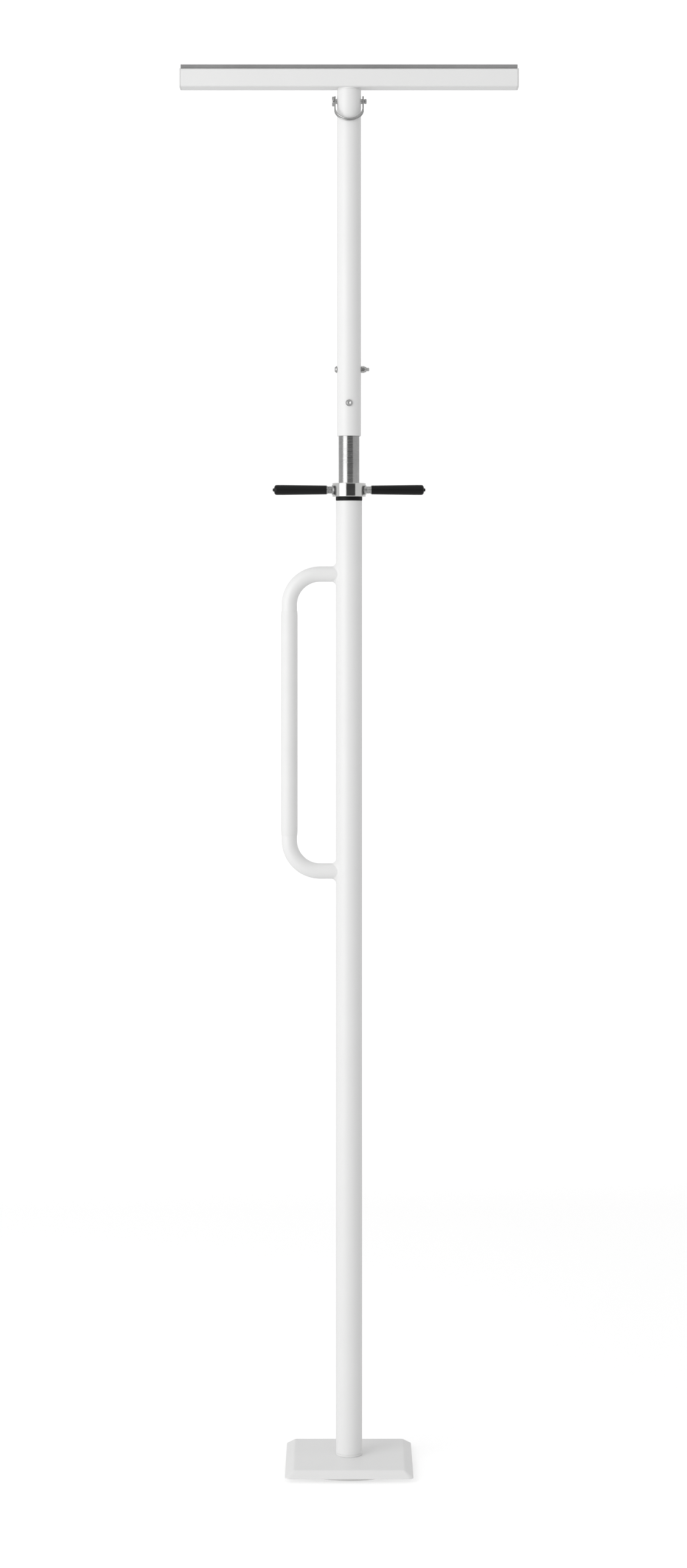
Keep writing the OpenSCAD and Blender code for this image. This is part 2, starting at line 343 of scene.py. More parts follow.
class Wiring:
    """Adds nodes to a tree and links them, so that a tree reads as a few calls."""

    def __init__(self, tree: Tree) -> None:
        """Works on the tree given."""
        self.tree = tree
        self.given: bpy.types.NodeOutputs | None = None

    def add(self, kind: str, settings: dict[str, object] | None = None, **inputs: object) -> Node:
        """Adds one node.

        Args:
            kind: the node's type name.
            settings: properties to set on the node first.
            **inputs: a value or a socket for each input, by its name with _ for each space, or by
                its place as i0, i1 and so on where names repeat.

        Returns:
            The node.
        """
        node = self.tree.nodes.new(kind)
        for key, value in (settings or {}).items():
            setattr(node, key, value)
        for key, value in inputs.items():
            by_place = key[0] == "i" and key[1:].isdigit()
            target = node.inputs[int(key[1:])] if by_place else node.inputs[key.replace("_", " ")]
            if isinstance(value, Socket):
                self.tree.links.new(value, target)
            else:
                target.default_value = value
        return node

    def maths(self, operation: str, *values: object, clamp: bool = False) -> Socket:
        """Adds a Math node on the values or sockets given and returns its output."""
        inputs = {f"i{i}": value for i, value in enumerate(values)}
        node = self.add("ShaderNodeMath", {"operation": operation, "use_clamp": clamp}, **inputs)
        return node.outputs[0]


class Kind(Enum):
    """What a group's socket carries."""

    FLOAT = "NodeSocketFloat"
    INTEGER = "NodeSocketInt"
    GEOMETRY = "NodeSocketGeometry"
    MATERIAL = "NodeSocketMaterial"
    COLOUR = "NodeSocketColor"
    VECTOR = "NodeSocketVector"


def new_group(name: str, tree_kind: str, outputs: dict[str, Kind], **inputs: object) -> Wiring:
    """Makes an empty node group with its sockets.

    Args:
        name: the group's name.
        tree_kind: GeometryNodeTree or ShaderNodeTree.
        outputs: what each output carries, by its name.
        **inputs: for each input, what it carries or its default, by its name with _ for each space.

    Returns:
        The group's wiring, with its inputs in given.
    """
    wires = Wiring(bpy.data.node_groups.new(name, tree_kind))
    sockets = wires.tree.interface
    for key, value in inputs.items():
        kind = value
        if not isinstance(value, Kind):
            kind = Kind.INTEGER if isinstance(value, int) else Kind.FLOAT
        socket = sockets.new_socket(key.replace("_", " "), in_out="INPUT", socket_type=kind.value)
        if kind is not value:
            socket.default_value = value
    for key, kind in outputs.items():
        sockets.new_socket(key, in_out="OUTPUT", socket_type=kind.value)
    wires.given = wires.add("NodeGroupInput").outputs
    return wires


def shape_group(name: str, **inputs: object) -> Wiring:
    """A Geometry Nodes group with a geometry and a material input besides those given."""
    geometry = {"Geometry": Kind.GEOMETRY}
    return new_group(name, "GeometryNodeTree", geometry, **geometry, **inputs, Material=Kind.MATERIAL)


def close_tree(wires: Wiring, shape: Socket) -> Tree:
    """Ends a Geometry Nodes tree with real geometry that has its material.

    Args:
        wires: the tree's wiring.
        shape: the geometry made so far.

    Returns:
        The tree.
    """
    real = wires.add("GeometryNodeRealizeInstances", Geometry=shape).outputs[0]
    material = wires.given["Material"]
    dressed = wires.add("GeometryNodeSetMaterial", Geometry=real, Material=material).outputs[0]
    wires.add("NodeGroupOutput", i0=dressed)
    return wires.tree


def thread_tree() -> Tree:
    """Right-hand screw thread: one closed ridge that runs out at both ends.

    Returns:
        A tree with the sizes of the thread as inputs, in metres.
    """
    wires = shape_group(
        "screw_thread", Crest_Radius=0.0175, Root_Radius=0.0162, Pitch=0.002, Turns=10.0,
        Steps_Along=480, Run_Out=1.0, Start_Height=0.0,
    )
    given, maths = wires.given, wires.maths
    grid = wires.add(
        "GeometryNodeMeshGrid", Size_X=1.0, Size_Y=1.0, Vertices_X=5, Vertices_Y=given["Steps Along"]
    )
    place = wires.add("GeometryNodeInputPosition").outputs[0]
    split = wires.add("ShaderNodeSeparateXYZ", Vector=place).outputs
    corner = maths("ROUND", maths("MULTIPLY", maths("ADD", split["X"], 0.5), 4.0))
    corner = maths("MODULO", corner, 4.0)
    turn = maths("MULTIPLY", maths("ADD", split["Y"], 0.5), given["Turns"])
    left = maths("SUBTRACT", given["Turns"], turn)
    grown = maths("DIVIDE", maths("MINIMUM", turn, left), given["Run Out"], clamp=True)
    on_crest = maths("MINIMUM", corner, maths("SUBTRACT", 3.0, corner), clamp=True)
    depth = maths("SUBTRACT", given["Crest Radius"], given["Root Radius"])
    rise = maths("MULTIPLY", maths("MULTIPLY", depth, on_crest), grown)
    radius = maths("ADD", given["Root Radius"], rise)
    across = maths("DIVIDE", maths("SUBTRACT", corner, 1.5), 1.5)
    share = maths("MULTIPLY_ADD", maths("ABSOLUTE", across), FLANK, CREST)
    half_width = maths("MULTIPLY", maths("SIGN", across), share)
    spread = maths("MULTIPLY", half_width, given["Pitch"])
    climb = maths("ADD", maths("MULTIPLY", given["Pitch"], turn), given["Start Height"])
    height = maths("ADD", climb, maths("MULTIPLY", spread, grown))
    angle = maths("MULTIPLY", turn, math.tau)
    x = maths("MULTIPLY", radius, maths("COSINE", angle))
    y = maths("MULTIPLY", radius, maths("SINE", angle))
    wound = wires.add("ShaderNodeCombineXYZ", X=x, Y=y, Z=height).outputs[0]
    coiled = wires.add("GeometryNodeSetPosition", Geometry=grid.outputs["Mesh"], Position=wound)
    merged = wires.add("GeometryNodeMergeByDistance", Geometry=coiled.outputs[0], Distance=1e-6)
    return close_tree(wires, merged.outputs[0])


def rod_tree() -> Tree:
    """Round bar or wire that follows a curve, with its corners bent to a radius.

    Returns:
        A tree with the bar's radius, bend radius and sides as inputs, in metres.
    """
    wires = shape_group("rod_along_path", Rod_Radius=0.0125, Bend_Radius=0.05, Bend_Steps=24, Sides=64)
    given = wires.given
    bent = wires.add(
        "GeometryNodeFilletCurve", {"mode": "POLY"}, Curve=given["Geometry"], Count=given["Bend Steps"],
        Radius=given["Bend Radius"], Limit_Radius=True,
    )
    circle = wires.add(
        "GeometryNodeCurvePrimitiveCircle", Resolution=given["Sides"], Radius=given["Rod Radius"]
    )
    swept = wires.add(
        "GeometryNodeCurveToMesh", Curve=bent.outputs[0], Profile_Curve=circle.outputs["Curve"],
        Fill_Caps=True,
    )
    return close_tree(wires, swept.outputs[0])


def tread_tree() -> Tree:
    """Ring of ribs that point at its centre, for the underside of the sole.

    Returns:
        A tree with the ring's sizes as inputs, in metres.
    """
    wires = shape_group(
        "tread_ring", Ring_Radius=0.06, Rib_Count=36, Rib_Length=0.02, Rib_Width=0.003,
        Rib_Height=0.002, Centre_Height=0.001,
    )
    given = wires.given
    circle = wires.add(
        "GeometryNodeMeshCircle", Vertices=given["Rib Count"], Radius=given["Ring Radius"]
    )
    size = wires.add(
        "ShaderNodeCombineXYZ", X=given["Rib Length"], Y=given["Rib Width"], Z=given["Rib Height"]
    )
    rib = wires.add("GeometryNodeMeshCube", Size=size.outputs[0])
    outwards = wires.add("GeometryNodeInputPosition").outputs[0]
    facing = wires.add("FunctionNodeAlignRotationToVector", {"axis": "X"}, Vector=outwards)
    ribs = wires.add(
        "GeometryNodeInstanceOnPoints", Points=circle.outputs[0], Instance=rib.outputs["Mesh"],
        Rotation=facing.outputs[0],
    )
    lift = wires.add("ShaderNodeCombineXYZ", Z=given["Centre Height"]).outputs[0]
    moved = wires.add("GeometryNodeTranslateInstances", Instances=ribs.outputs[0], Translation=lift)
    return close_tree(wires, moved.outputs[0])


def baked(name: str, source: bpy.types.ID, tree: Tree, sizes: dict[str, object]) -> Piece:
    """Runs a Geometry Nodes tree once and keeps its result as a plain mesh.

    Args:
        name: the new object's name.
        source: the mesh or curve data that the tree starts from.
        tree: the tree.
        sizes: a value for each of the tree's inputs, by its name.

    Returns:
        A mesh object at the origin, with no modifier.
    """
    carrier = linked(name + "_carrier", source)
    modifier = carrier.modifiers.new("shape", "NODES")
    modifier.node_group = tree
    for item in tree.interface.items_tree:
        if item.in_out == "INPUT" and item.name in sizes:
            modifier[item.identifier] = sizes[item.name]
    bpy.context.view_layer.update()
    graph = bpy.context.evaluated_depsgraph_get()
    mesh = bpy.data.meshes.new_from_object(carrier.evaluated_get(graph))
    carrier.modifiers.remove(modifier)
    bpy.data.objects.remove(carrier)
    work = bmesh.new()
    work.from_mesh(mesh)
    bmesh.ops.remove_doubles(work, verts=work.verts, dist=1e-7)
    bmesh.ops.recalc_face_normals(work, faces=work.faces)
    work.to_mesh(mesh)
    work.free()
    mesh.name = name
    return linked(name, mesh)


def ridge(
    name: str, radii: tuple[float, float], pitch: float, turns: float, start: float, fine: int,
    run_out: float = 1.0,
) -> Piece:
    """One screw thread's ridge round the Z axis, in zinc-plated steel.

    Args:
        name: the new object's name.
        radii: radius of its crest and of its root, in millimetres.
        pitch: climb of one turn, in millimetres.
        turns: how many turns it makes.
        start: height at which it starts, in millimetres.
        fine: steps to a turn.
        run_out: turns over which it grows at each end.

    Returns:
        A mesh object at the origin.
    """
    sizes = {
        "Crest Radius": radii[0] * MM, "Root Radius": radii[1] * MM, "Pitch": pitch * MM,
        "Turns": turns, "Steps Along": int(turns * fine) + 1, "Run Out": run_out,
        "Start Height": start * MM, "Material": ZINC_STEEL.material(),
    }
    return baked(name, bpy.data.meshes.new("seed"), Shared.get(thread_tree), sizes)


def path_curve(name: str, points: Sequence[Vector], cyclic: bool = False) -> bpy.types.Curve:
    """A poly curve through points.

    Args:
        name: the curve's name.
        points: the points in millimetres.
        cyclic: whether the curve closes on itself.

    Returns:
        The curve's data, in metres.
    """
    curve = bpy.data.curves.new(name, "CURVE")
    curve.dimensions = "3D"
    spline = curve.splines.new("POLY")
    spline.points.add(len(points) - 1)
    for slot, point in zip(spline.points, points):
        slot.co = (*(point * MM), 1.0)
    spline.use_cyclic_u = cyclic
    return curve


# ---- finishes


def surface_noise_group() -> Tree:
    """Fine grain with broad handling marks, shared by every finish.

    Returns:
        A shader group that puts out a colour, a roughness and a height, all varying over a surface.
    """
    wires = new_group(
        "surface_noise", "ShaderNodeTree",
        {"Color": Kind.COLOUR, "Roughness": Kind.FLOAT, "Height": Kind.FLOAT}, Vector=Kind.VECTOR,
        Light=Kind.COLOUR, Dark=Kind.COLOUR, Grain_Scale=600.0, Mark_Scale=9.0, Smoothest=0.35,
        Roughest=0.45,
    )
    given = wires.given
    grain = wires.add(
        "ShaderNodeTexNoise", Vector=given["Vector"], Scale=given["Grain Scale"], Detail=2.0
    ).outputs[0]
    marks = wires.add(
        "ShaderNodeTexNoise", Vector=given["Vector"], Scale=given["Mark Scale"], Detail=5.0,
        Roughness=0.6, Distortion=0.4,
    ).outputs[0]
    blend = wires.add("ShaderNodeMapRange", Value=marks, From_Min=0.35, From_Max=0.7).outputs[0]
    colour = wires.add(
        "ShaderNodeMix", {"data_type": "RGBA"}, i0=blend, i6=given["Light"], i7=given["Dark"]
    ).outputs[2]
    mixed = wires.maths("ADD", wires.maths("MULTIPLY", marks, 0.7), wires.maths("MULTIPLY", grain, 0.3))
    rough = wires.add(
        "ShaderNodeMapRange", Value=mixed, From_Min=0.35, From_Max=0.65, To_Min=given["Smoothest"],
        To_Max=given["Roughest"],
    ).outputs[0]
    wires.add("NodeGroupOutput", Color=colour, Roughness=rough, Height=grain)
    return wires.tree


def turning_marks_group() -> Tree:
    """Fine lines that a lathe leaves round a piece's axis.

    Returns:
        A shader group that puts out a roughness and a height.
    """
    wires = new_group(
        "turning_marks", "ShaderNodeTree", {"Roughness": Kind.FLOAT, "Height": Kind.FLOAT},
        Vector=Kind.VECTOR, Line_Scale=2500.0, Smoothest=0.1, Roughest=0.3,
    )
    given = wires.given
    lines = wires.add(
        "ShaderNodeTexNoise", Vector=given["Vector"], Scale=given["Line Scale"], Detail=3.0
    ).outputs[0]
    rough = wires.add(
        "ShaderNodeMapRange", Value=lines, From_Min=0.3, From_Max=0.7, To_Min=given["Smoothest"],
        To_Max=given["Roughest"],
    ).outputs[0]
    wires.add("NodeGroupOutput", Roughness=rough, Height=lines)
    return wires.tree


class Shared:
    """Node groups and materials that are built once and used by several pieces."""

    _made: dict[str, bpy.types.ID] = {}

    @classmethod
    def get(cls, maker: Callable[[], bpy.types.ID], name: str = "") -> bpy.types.ID:
        """What a maker builds, made the first time it is asked for, under its own or a given name."""
        key = name or maker.__name__
        if key not in cls._made:
            cls._made[key] = maker()
        return cls._made[key]


def new_material(name: str) -> tuple[bpy.types.Material, Wiring]:
    """A new material with no nodes, and its wiring."""
    made = bpy.data.materials.new(name)
    made.use_nodes = True
    made.node_tree.nodes.clear()
    return made, Wiring(made.node_tree)


@dataclass(frozen=True)
class Finish:
    """A painted or moulded surface.

    Attributes:
        slot: the name of its material.
        light: base colour where the surface is clean.
        dark: base colour in its handling marks.
        smoothest: lowest roughness.
        roughest: highest roughness.
        grain: features of the fine grain per metre.
        relief: height of the fine grain or of the turning lines, in metres.
        metal: 1 for metal, 0 for everything else.
        shine: strength of the mirror-like part, where 0.5 is plain plastic or paint.
    """

    slot: str
    light: Colour
    dark: Colour
    smoothest: float = 0.35
    roughest: float = 0.45
    grain: float = 700.0
    relief: float = 0.00003
    shine: float = 0.5
    metal: float = 0.0

    def material(self) -> bpy.types.Material:
        """The finish as a procedural material, made once."""
        return Shared.get(self.mixed, self.slot)

    def mixed(self) -> bpy.types.Material:
        """A new material with this finish."""
        made, wires = new_material(self.slot)
        shader = wires.add("ShaderNodeBsdfPrincipled")
        self.wire(wires, shader)
        wires.add("ShaderNodeOutputMaterial", Surface=shader.outputs[0])
        return made

    def marks(self, wires: Wiring, place: Socket, noise: Node) -> Node:
        """The node that gives roughness and height; for paint and plastic, the noise itself."""
        return noise

    def wire(self, wires: Wiring, shader: Node) -> None:
        """Connects the surface to the shader.

        Args:
            wires: the material's wiring.
            shader: its Principled BSDF.
        """
        place = wires.add("ShaderNodeTexCoord").outputs["Object"]
        noise = wires.add(
            "ShaderNodeGroup", {"node_tree": Shared.get(surface_noise_group)}, Vector=place,
            Light=(*self.light, 1.0), Dark=(*self.dark, 1.0), Grain_Scale=self.grain,
            Smoothest=self.smoothest, Roughest=self.roughest,
        )
        marks = self.marks(wires, place, noise)
        height = marks.outputs["Height"]
        bump = wires.add("ShaderNodeBump", Strength=1.0, Distance=self.relief, Height=height)
        links = wires.tree.links
        links.new(noise.outputs["Color"], shader.inputs["Base Color"])
        links.new(marks.outputs["Roughness"], shader.inputs["Roughness"])
        links.new(bump.outputs[0], shader.inputs["Normal"])
        shader.inputs["Specular IOR Level"].default_value = self.shine
        shader.inputs["Metallic"].default_value = self.metal


@dataclass(frozen=True)
class SteelFinish(Finish):
    """Turned and plated steel, with fine lines round the piece's axis.

    Attributes:
        lines: turning lines per metre along the axis.
        around: how strongly the lines follow the axis, as a share of the other directions.
    """

    relief: float = 0.00001
    metal: float = 1.0
    lines: float = 1500.0
    around: float = 0.02

    def marks(self, wires: Wiring, place: Socket, noise: Node) -> Node:
        """The lines of the lathe, stretched round the axis."""
        stretch = (self.around, self.around, 1.0)
        squeezed = wires.add("ShaderNodeMapping", Vector=place, Scale=stretch).outputs[0]
        return wires.add(
            "ShaderNodeGroup", {"node_tree": Shared.get(turning_marks_group)}, Vector=squeezed,
            Line_Scale=self.lines, Smoothest=self.smoothest, Roughest=self.roughest,
        )


WHITE_POWDER = Finish(
    "white_powder", light=(0.825, 0.825, 0.822), dark=(0.81, 0.81, 0.807),
    smoothest=0.36, roughest=0.46, grain=520.0, relief=0.00002,
)
WHITE_SLEEVE = Finish(
    "white_sleeve", light=(0.82, 0.82, 0.815), dark=(0.79, 0.79, 0.785),
    smoothest=0.45, roughest=0.55, grain=900.0, relief=0.00002,
)
WHITE_PLASTIC = Finish(
    "white_plastic", light=(0.79, 0.79, 0.785), dark=(0.77, 0.77, 0.765),
    smoothest=0.38, roughest=0.5, grain=1500.0, relief=0.00002,
)
BLACK_PLASTIC = Finish(
    "black_plastic", light=(0.007, 0.007, 0.0073), dark=(0.011, 0.011, 0.0113),
    smoothest=0.4, roughest=0.55, grain=1400.0, shine=0.15,
)
GUIDE_PLASTIC = Finish(
    "guide_plastic", light=(0.16, 0.16, 0.165), dark=(0.13, 0.13, 0.135),
    smoothest=0.45, roughest=0.6, grain=1200.0,
)
NYLON = Finish(
    "nylon", light=(0.78, 0.79, 0.77), dark=(0.74, 0.75, 0.73),
    smoothest=0.4, roughest=0.5, grain=1200.0, relief=0.00002,
)
BLACK_VINYL = Finish(
    "black_vinyl", light=(0.004, 0.004, 0.0042), dark=(0.007, 0.007, 0.0073),
    smoothest=0.26, roughest=0.36, grain=450.0, shine=0.22,
)
GREY_RUBBER = Finish(
    "grey_rubber", light=(0.27, 0.27, 0.27), dark=(0.22, 0.22, 0.22),
    smoothest=0.7, roughest=0.85, grain=1100.0, relief=0.00008,
)
SOLE_RUBBER = Finish(
    "sole_rubber", light=(0.78, 0.78, 0.77), dark=(0.72, 0.72, 0.71),
    smoothest=0.6, roughest=0.8, grain=1100.0, relief=0.00006,
)
BRIGHT_STEEL = SteelFinish(
    "bright_steel", light=(0.72, 0.72, 0.71), dark=(0.68, 0.68, 0.67), smoothest=0.05, roughest=0.14
)
ZINC_STEEL = SteelFinish(
    "zinc_steel", light=(0.53, 0.53, 0.525), dark=(0.37, 0.37, 0.37), smoothest=0.14, roughest=0.3
)


def fit(piece: Piece, finish: Finish, body: str, *stands_for: str) -> Piece:
    """Dresses a piece, fastens it to its body and hides the CAD nodes it stands for.

    Args:
        piece: the finished mesh object.
        finish: its finish.
        body: the CAD body that carries it.
        *stands_for: the CAD nodes it replaces.

    Returns:
        The piece.
    """
    piece.data.materials.clear()
    piece.data.materials.append(finish.material())
    piece.data.shade_smooth()
    piece.data.set_sharp_from_angle(angle=math.radians(CREASE))
    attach(piece, body)
    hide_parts(*stands_for)
    log.info("%s: %d faces, %s, on %s", piece.name, len(piece.data.polygons), finish.slot, body)
    return piece


def dress(node: str, finish: Finish) -> None:
    """Gives a CAD node that stays in the model its finish."""
    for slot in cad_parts[node].material_slots:
        slot.material = finish.material()
    log.info("%s: CAD node, %s", node, finish.slot)


def tube_section(outer: float, inner: float, low: float, high: float, edge: float) -> Profile:
    """Closed section of a tube wall with broken edges.

    Args:
        outer: outer radius.
        inner: inner radius.
        low: height of the lower end.
        high: height of the upper end.
        edge: round of the end faces' edges.

    Returns:
        The section, to be turned as a loop.
    """
    corners = [(inner, low, edge), (outer, low, edge), (outer, high, edge), (inner, high, edge)]
    return rounded(corners, 3)


# ---- floor plate and sole


@dataclass
class FloorFoot:
    """Square floor plate on its rubber sole, with the stub that the pole stands over."""

    body: str = "base"
    flank_run: float = 13.5
    sheet: float = 3.5
    corner: float = 8.0
    corner_draw: float = 0.35
    land: float = 1.3
    top_round: float = 7.0
    tread_depth: float = 1.2
    plug: float = 84.0
    corner_steps: int = 10
    hub: tuple[float, float] = (0.32, 0.38)
    rim_share: float = 0.94
    rib_width: float = 2.6

    def square(self, half: float, corner: float, height: float) -> list[Vector]:
        """Points round a horizontal square with round corners."""
        outline = round_rect(2 * half, 2 * half, corner, self.corner_steps)
        return [Vector((x, y, height)) for x, y in outline]

    def plate(self) -> Piece:
        """The pressed plate: flat top, soft upper edge, sloping flanks and a folded rim."""
        low, high = box_mm("floor_plate")
        half, rim, top = high.x, low.z, high.z
        under = top - self.sheet
        flat = half - self.flank_run
        corners = [
            (flat / 2, top, 0.0), (flat, top, self.top_round), (half, rim + self.land, 1.0),
            (half, rim, 0.5), (half - self.sheet * 0.8, rim, 0.5),
            (flat - self.sheet * 0.8, under, self.top_round), (flat / 2, under, 0.0),
        ]
        edge = rounded(corners, 6, closed=False)
        rings = [self.square(r, max(self.corner - self.corner_draw * (half - r), 2.0), z) for r, z in edge]
        return Skin().loft(rings).build("foot_plate")

    def sole(self) -> Piece:
        """The rubber disc under the plate, with a ribbed tread that stands on the floor."""
        low, high = box_mm("rubber_sole")
        radius, rim = high.x, box_mm("floor_plate")[0].z
        face = low.z + self.tread_depth
        hub_in, hub_out = (radius * share for share in self.hub)
        corners = [
            (0.0, face, 0.0), (hub_in, face, 0.0), (hub_in, low.z, 0.4), (hub_out, low.z, 0.4),
            (hub_out, face, 0.0), (radius * self.rim_share, face, 0.0),
            (radius * self.rim_share, low.z, 0.4), (radius, low.z, 1.0), (radius, rim, 0.4),
            (self.plug, rim, 0.0), (self.plug, high.z, 0.4), (0.0, high.z, 0.0),
        ]
        disc = rounded(corners, 3, closed=False)
        shells = [Skin().turned(disc, Matrix.Identity(4), 128).build("sole_disc")]
        for share, count, length in ((0.5, 36, 0.18), (0.8, 60, 0.2)):
            sizes = {
                "Ring Radius": radius * share * MM, "Rib Count": count,
                "Rib Length": radius * length * MM, "Rib Width": self.rib_width * MM,
                "Rib Height": self.tread_depth * 1.8 * MM,
                "Centre Height": (low.z + self.tread_depth * 0.9) * MM,
                "Material": SOLE_RUBBER.material(),
            }
            shells.append(baked("sole_ribs", bpy.data.meshes.new("ribs"), Shared.get(tread_tree), sizes))
        return joined("tread_sole", shells)

    def make(self) -> None:
        """Builds and dresses the foot."""
        fit(self.plate(), WHITE_POWDER, self.body, "floor_plate")
        fit(self.sole(), SOLE_RUBBER, self.body, "rubber_sole")
        dress("plate_stub", WHITE_POWDER)
        dress("stub_weld", WHITE_POWDER)


# ---- lower pole and handle


@dataclass
class GrabHandle:
    """D-shaped handle welded to the pole, with a slim sleeve over its straight grip."""

    body: str = "pole"
    bend: float = 50.0
    sleeve_clear: float = 0.05
    sleeve_lip: float = 0.35
    sleeve_taper: float = 7.0
    weld_leg: float = 6.4
    weld_side: float = 1.6
    weld_fullness: float = 1.35
    sink: float = 1.2
    ripples: int = 46
    ripple_share: float = 0.035

    def __post_init__(self) -> None:
        """Reads the handle's sizes from the frame."""
        low, high = box_mm("handle_tube")
        self.radius = high.y
        self.pole_radius = box_mm("lower_tube")[1].x
        self.grip_x = low.x + self.radius
        self.heights = (low.z + self.radius, high.z - self.radius)

    def surface_x(self, y: float, sink: float = 0.0) -> float:
        """X of the pole's surface on the handle's side, at a given Y and depth below it."""
        radius = self.pole_radius - sink
        return -math.sqrt(max(radius * radius - y * y, 0.0))

    def tube(self) -> Piece:
        """The bent tube, its ends cut to the round of the pole."""
        bottom, top = self.heights
        stub = -self.pole_radius / 2
        corners = [
            Vector((stub, 0.0, bottom)), Vector((self.grip_x, 0.0, bottom)),
            Vector((self.grip_x, 0.0, top)), Vector((stub, 0.0, top)),
        ]
        sizes = {
            "Rod Radius": self.radius * MM, "Bend Radius": self.bend * MM, "Bend Steps": 28,
            "Sides": 72, "Material": WHITE_POWDER.material(),
        }
        bar = baked("bent_handle", path_curve("handle_path", corners), Shared.get(rod_tree), sizes)
        for vertex in bar.data.vertices:
            if vertex.co.x > (self.grip_x + self.bend) * MM + 1e-5:
                vertex.co.x = self.surface_x(vertex.co.y / MM, self.sink) * MM
        return bar

    def sleeve(self) -> Piece:
        """The white sleeve, drawn in at both ends."""
        low, high = box_mm("handle_grip")
        outer = (high.x - low.x) / 2
        inner = self.radius + self.sleeve_clear
        lip = inner + self.sleeve_lip
        soft = 14.0
        corners = [
            (inner, low.z, 0.1), (lip, low.z, 0.15), (outer, low.z + self.sleeve_taper, soft),
            (outer, high.z - self.sleeve_taper, soft), (lip, high.z, 0.15), (inner, high.z, 0.1),
        ]
        section = rounded(corners, 6)
        place = Matrix.Translation((self.grip_x, 0.0, 0.0))
        return Skin().turned(section, place, 80, loop=True).build("grip_sleeve")

    def weld(self, height: float) -> Piece:
        """One weld bead round the joint of handle and pole.

        Args:
            height: height of the handle's leg.

        Returns:
            A closed ring that follows the saddle between the two tubes.
        """
        segments = 6 * self.ripples
        fillet_steps = 7
        rings = []
        for i in range(segments):
            angle = math.tau * i / segments
            wave = 1 + self.ripple_share * math.cos(self.ripples * angle)
            leg = (self.weld_side + (self.weld_leg - self.weld_side) * math.sin(angle) ** 2) * wave
            section = [(self.radius - self.sink, self.sink), (self.radius + leg * 0.8, self.sink)]
            for k in range(fillet_steps + 1):
                turn = math.pi / 2 * k / fillet_steps
                along = self.radius + leg * (1 - math.sin(turn) ** self.weld_fullness)
                out = leg * (1 - math.cos(turn) ** self.weld_fullness)
                section.append((along, -out))
            section.append((self.radius - self.sink, -leg * 0.8))
            ring = []
            for along, depth in section:
                y = along * math.cos(angle)
                x = self.surface_x(y) + depth
                ring.append(Vector((x, y, height + along * math.sin(angle))))
            rings.append(ring)
        return Skin().loft(rings, loop=True).build("weld_bead")

    def make(self) -> None:
        """Builds and dresses the handle."""
        fit(self.tube(), WHITE_POWDER, self.body, "handle_tube")
        fit(self.sleeve(), WHITE_SLEEVE, self.body, "handle_grip")
        beads = joined("handle_beads", [self.weld(height) for height in self.heights])
        fit(beads, WHITE_POWDER, self.body, "handle_welds")


@dataclass
class LowerPole:
    """Lower tube with the bush it turns on and the black bush that carries the jack nut."""

    body: str = "pole"
    wall: float = 2.6
    edge: float = 0.5
    clear: float = 0.05
    flange: float = 6.5
    foot_flange: float = 4.0
    weld_pocket: tuple[float, float] = (18.6, 2.6)

    def tube(self) -> Piece:
        """The long tube, as a wall with rounded ends."""
        low, high = box_mm("lower_tube")
        return pipe("lower_pole", tube_section(high.x, high.x - self.wall, low.z, high.z, self.edge))

    def foot_ring(self) -> Piece:
        """White bush in the tube's foot, whose flange shows as a thin ring over the plate."""
        low, high = box_mm("foot_bush")
        bore = box_mm("plate_stub")[1].x + self.clear
        pocket_r, pocket_h = self.weld_pocket
        sleeve = high.x - self.wall - self.clear
        corners = [
            (pocket_r, low.z, 0.2), (high.x, low.z, 0.7), (high.x, low.z + self.foot_flange, 0.9),
            (sleeve, low.z + self.foot_flange, 0.0), (sleeve, high.z, 0.4), (bore, high.z, 0.3),
            (bore, low.z + pocket_h, 0.0), (pocket_r, low.z + pocket_h, 0.0),
        ]
        return pipe("foot_ring", rounded(corners, 3))

    def jack_bush(self) -> Piece:
        """Black bush in the tube's mouth, with the flange that the nut turns on."""
        low, high = box_mm("top_bush")
        bore = box_mm("screw_tube")[1].x + self.clear
        sleeve = box_mm("lower_tube")[1].x - self.wall - self.clear
        corners = [
            (bore, low.z, 0.3), (sleeve, low.z, 0.5), (sleeve, high.z - self.flange, 0.0),
            (high.x, high.z - self.flange, 1.4), (high.x, high.z, 1.0), (bore, high.z, 0.4),
        ]
        return pipe("jack_bush", rounded(corners, 5))

    def make(self) -> None:
        """Builds and dresses the lower pole."""
        fit(self.tube(), WHITE_POWDER, self.body, "lower_tube")
        fit(self.foot_ring(), WHITE_PLASTIC, self.body, "foot_bush")
        fit(self.jack_bush(), BLACK_PLASTIC, self.body, "top_bush")


# ---- jack


